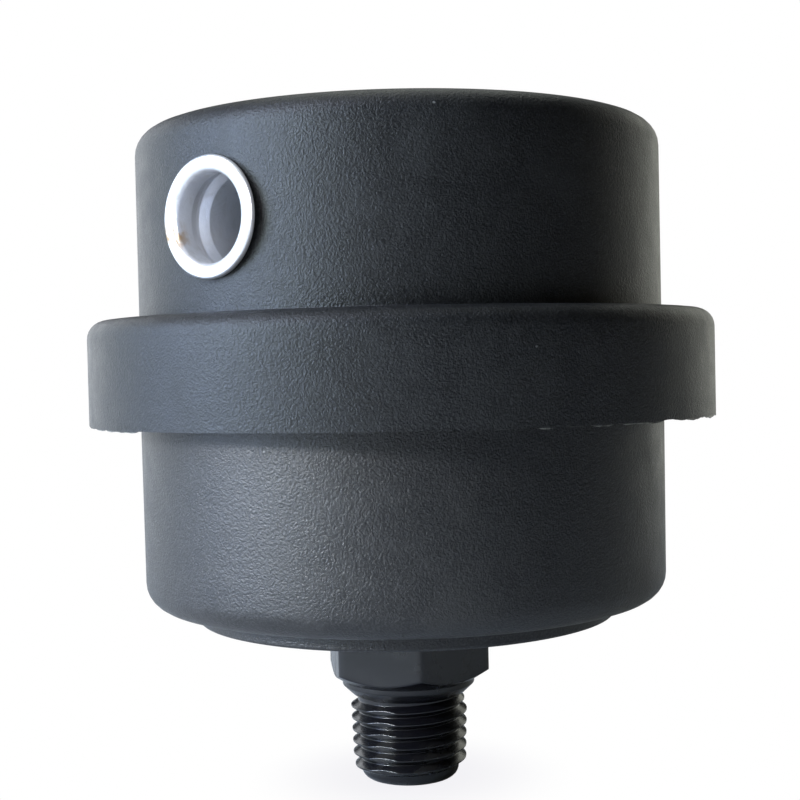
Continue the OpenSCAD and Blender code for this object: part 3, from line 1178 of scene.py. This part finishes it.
@dataclass
class Cartridge:
    """The filter cartridge: two moulded end caps, pleats, mesh, core, clip and washer."""

    cap_r: float = 23.0
    rim_in_r: float = 21.9
    cap: float = 1.2
    rim: float = 1.6
    bottom_z: float = 24.0
    top_z: float = 47.3
    boss_r: float = 9.2
    hole_r: float = 6.9
    washer_r: float = 14.0
    washer_z: float = 22.8

    def top_cap(self) -> list[Corner]:
        """Lists the top cap's corners."""
        under = self.top_z - self.rim
        over = self.top_z + self.cap
        return [
            Corner(0, under),
            Corner(self.boss_r, under, 0.3),
            Corner(self.boss_r, self.top_z, 0.15),
            Corner(self.rim_in_r, self.top_z, 0.15),
            Corner(self.rim_in_r, under, 0.25),
            Corner(self.cap_r, under, 0.3),
            Corner(self.cap_r, over, 0.5),
            Corner(0, over),
        ]

    def bottom_cap(self) -> list[Corner]:
        """Lists the bottom cap's corners."""
        face = self.bottom_z + self.cap
        over = face + self.rim
        return [
            Corner(self.hole_r, self.bottom_z, 0.3),
            Corner(self.cap_r, self.bottom_z, 0.5),
            Corner(self.cap_r, over, 0.3),
            Corner(self.rim_in_r, over, 0.25),
            Corner(self.rim_in_r, face, 0.15),
            Corner(self.boss_r, face, 0.15),
            Corner(self.boss_r, over, 0.3),
            Corner(self.hole_r, over, 0.3),
        ]

    def washer(self) -> list[Corner]:
        """Lists the seat washer's corners."""
        return band(self.hole_r, self.washer_r, self.washer_z, self.bottom_z, (0.15, 0.2, 0.2, 0.15))

    def build(self, finishes: dict[str, Dress]) -> list[Piece]:
        """Builds the cartridge's own pieces and dresses the CAD ones.

        Args:
            finishes: The materials by name.

        Returns:
            The two caps and the washer.
        """
        parts: tuple[tuple[str, Callable[[], list[Corner]], Slot, str, str], ...] = (
            ("cap_top", self.top_cap, Slot.PLASTISOL, "plastisol", "top_end_cap"),
            ("cap_bottom", self.bottom_cap, Slot.PLASTISOL, "plastisol", "bottom_end_cap"),
            ("washer", self.washer, Slot.SEAL_RUBBER, "rubber", "seat_washer"),
        )
        made = []
        for name, corners, slot, dress, node in parts:
            piece = finished(turned(corners(), steps=160, longest=2.0), name)
            made.append(settle(piece, Body.CARTRIDGE, finishes[dress], node))
        for node, dress in (
            ("pleated_paper", "paper"),
            ("mesh_sleeve", "galvanised"),
            ("perforated_core", "tinned"),
            ("pleat_seam_clip", "tinned"),
        ):
            dress_node(node, finishes[dress])
        return made


# --------------------------------------------------------------------------- the studio


@dataclass(frozen=True)
class SoftLamp:
    """A soft rectangular lamp, placed by its angle from the camera's side of the object."""

    name: str
    turn: float
    tilt: float
    width: float
    height: float
    power: float
    colour: Colour
    only: tuple[str, ...] = ()
    reach: float = 420.0

    def light(self, camera_turn: float, target: Vector) -> Piece:
        """Hangs the lamp.

        Args:
            camera_turn: The camera's direction from the axis, in degrees.
            target: The point that the lamp faces.

        Returns:
            The lamp.
        """
        data = bpy.data.lights.new(self.name, "AREA")
        data.shape = "RECTANGLE"
        data.size = self.width * MM
        data.size_y = self.height * MM
        data.energy = self.power
        data.color = self.colour
        lamp = bpy.data.objects.new(self.name, data)
        bpy.context.scene.collection.objects.link(lamp)
        angle = math.radians(camera_turn + self.turn)
        tilt = math.radians(self.tilt)
        way = Vector((math.cos(angle) * math.cos(tilt), math.sin(angle) * math.cos(tilt), math.sin(tilt)))
        lamp.location = target + way * self.reach * MM
        lamp.rotation_euler = way.to_track_quat("Z", "Y").to_euler()
        lamp.visible_camera = False
        if self.only:
            lit = bpy.data.collections.new(self.name)
            for name in self.only:
                lit.objects.link(bpy.data.objects[name])
            lamp.light_linking.receiver_collection = lit
        return lamp


@dataclass
class Studio:
    """A white sweep, soft lamps and the camera."""

    camera_turn: float = FRONT
    camera_reach: float = 162.5
    camera_z: float = 47.6
    aim_z: float = 43.07
    aim_aside: float = -0.25
    roll: float = -1.3
    lens: float = 64.0
    sensor: float = 36.0
    clip: tuple[float, float] = (0.01, 20.0)
    floor_r: float = 900.0
    floor_z: float = -0.02
    floor_colour: Colour = (0.75, 0.75, 0.75)
    shade_edge: tuple[float, float] = (19.8, 3.6)
    shade: float = 0.22
    shade_colour: Colour = (0.5, 0.47, 0.6)
    glow: float = 0.3
    glow_colour: Colour = (0.85, 0.93, 1.0)
    glow_turn: float = -58.0
    glow_reach: float = 60.0
    world_fill: float = 0.006
    lamps: tuple[SoftLamp, ...] = (
        SoftLamp("window", -72, 12, 160, 420, 2.5, (0.53, 0.66, 1.0)),
        SoftLamp("window_middle", -55, 12, 140, 420, 1.5, (0.8, 0.99, 1.0)),
        SoftLamp("window_end", -38, 12, 140, 400, 0.06, (1.0, 0.6, 0.4)),
        SoftLamp("left_side", -110, 8, 220, 420, 0.38, (0.8, 0.97, 1.0)),
        SoftLamp("left_rim", -140, 5, 220, 420, 0.646, (0.925, 0.96, 1.0)),
        SoftLamp("right_side", 110, 5, 220, 420, 0.04, (1.0, 0.97, 0.78)),
        SoftLamp("right_rim", 140, 5, 220, 420, 0.4, (0.98, 1.0, 0.895)),
        SoftLamp("high_left", -62, 50, 150, 150, 0.6, (0.82, 0.85, 1.0)),
        SoftLamp("overhead", 0, 88, 260, 260, 0.15, (0.93, 1.0, 0.96)),
        SoftLamp("high_back", 180, 60, 300, 250, 0.3, (0.95, 1.0, 0.92)),
        SoftLamp("into_tube", 12, 22, 260, 260, 3.0, (0.93, 0.95, 1.0), ("tube",)),
        SoftLamp("stud_gleam", -58, 14, 36, 40, 1.9, (0.95, 0.97, 1.0), ("base",)),
        SoftLamp("low_front", -20, -6, 300, 60, 0.07, (1.0, 0.8, 0.5)),
    )

    def camera(self) -> Piece:
        """Sets the camera up.

        Returns:
            The camera.
        """
        data = bpy.data.cameras.new("camera")
        data.lens = self.lens
        data.sensor_width = self.sensor
        data.clip_start, data.clip_end = self.clip
        camera = bpy.data.objects.new("camera", data)
        bpy.context.scene.collection.objects.link(camera)
        angle = math.radians(self.camera_turn)
        way = Vector((math.cos(angle), math.sin(angle), 0))
        aside = Vector((-math.sin(angle), math.cos(angle), 0))
        place = (way * self.camera_reach + Vector((0, 0, self.camera_z))) * MM
        aim = (aside * self.aim_aside + Vector((0, 0, self.aim_z))) * MM
        turn = (aim - place).to_track_quat("-Z", "Y").to_matrix()
        turn = turn @ Matrix.Rotation(math.radians(self.roll), 3, "Z")
        camera.location = place
        camera.rotation_euler = turn.to_euler()
        bpy.context.scene.camera = camera
        return camera

    def floor(self) -> Piece:
        """Lays the pale floor: shaded where the stud stands, bright towards the window, clear from below.

        Returns:
            The floor.
        """
        mesh = bmesh.new()
        bmesh.ops.create_circle(mesh, cap_ends=True, segments=64, radius=self.floor_r * MM)
        bmesh.ops.translate(mesh, verts=mesh.verts, vec=(0, 0, self.floor_z * MM))
        piece = finished(mesh, "floor")
        made = bpy.data.materials.new("pale_floor")
        made.use_nodes = True
        graph = Graph(made.node_tree)
        place = graph.add("ShaderNodeTexCoord").outputs["Object"]
        away = graph.add("ShaderNodeVectorMath", {"0": place}, operation="LENGTH").outputs["Value"]
        near = graph.ramp(away, *(edge * MM for edge in self.shade_edge), self.shade)
        shaded = graph.blend(near, (1.0, 1.0, 1.0), self.shade_colour)
        seen = graph.add("ShaderNodeEmission", {"Color": shaded})
        window = math.radians(self.camera_turn + self.glow_turn)
        towards = graph.add("ShaderNodeVectorMath", {"0": place}, operation="DOT_PRODUCT")
        towards.inputs[1].default_value = (math.cos(window), math.sin(window), 0)
        lit = graph.ramp(towards.outputs["Value"], 0.0, self.glow_reach * MM, self.glow)
        matt = graph.add("ShaderNodeBsdfDiffuse", {"Color": (*self.floor_colour, 1.0)})
        shine = graph.add("ShaderNodeEmission", {"Color": (*self.glow_colour, 1.0), "Strength": lit})
        plain = graph.add("ShaderNodeAddShader", {"0": matt.outputs[0], "1": shine.outputs[0]})
        path = graph.add("ShaderNodeLightPath").outputs["Is Camera Ray"]
        both = graph.add("ShaderNodeMixShader", {"0": path, "1": plain.outputs[0], "2": seen.outputs[0]})
        clear = graph.add("ShaderNodeBsdfTransparent")
        under = graph.maths("MULTIPLY", graph.add("ShaderNodeNewGeometry").outputs["Backfacing"], path)
        either = graph.add("ShaderNodeMixShader", {"0": under, "1": both.outputs[0], "2": clear.outputs[0]})
        graph.add("ShaderNodeOutputMaterial", {"Surface": either.outputs[0]})
        piece.data.materials.append(made)
        return piece

    def world(self) -> None:
        """Makes the surroundings white to the camera and dim to everything else."""
        world = bpy.data.worlds.new("studio")
        bpy.context.scene.world = world
        world.use_nodes = True
        graph = Graph(world.node_tree)
        seen = graph.add("ShaderNodeBackground", {"Color": (1, 1, 1, 1), "Strength": 1.0})
        fill = graph.add("ShaderNodeBackground", {"Color": (0.9, 0.95, 1, 1), "Strength": self.world_fill})
        path = graph.add("ShaderNodeLightPath").outputs["Is Camera Ray"]
        both = graph.add("ShaderNodeMixShader", {"0": path, "1": fill.outputs[0], "2": seen.outputs[0]})
        graph.add("ShaderNodeOutputWorld", {"Surface": both.outputs[0]})

    def build(self) -> None:
        """Sets up the camera, the floor and the surroundings."""
        bpy.context.scene.view_settings.view_transform = "Standard"
        self.camera()
        self.floor()
        self.world()

    def light(self) -> None:
        """Hangs the lamps, once the pieces that some of them light alone are there."""
        for lamp in self.lamps:
            lamp.light(self.camera_turn, Vector((0, 0, self.aim_z)) * MM)


def main() -> None:
    """Builds the studio and every piece."""
    logging.basicConfig(level=logging.INFO, format="%(name)s %(message)s")
    palette = Palette()
    finishes = {item.name: getattr(palette, item.name).material() for item in fields(palette)}
    studio = Studio()
    studio.build()
    CoverShell().build(finishes["flashed"])
    IntakeTube().build(finishes["zinc"])
    CoverLinings().build(finishes["foam"])
    BaseShell().build(finishes["black"], finishes["stud"])
    SealRing().build(finishes["rubber"])
    Baffle().build(finishes["grey"], finishes["sponge"])
    Cartridge().build(finishes)
    studio.light()


if __name__ == "__main__":
    main()
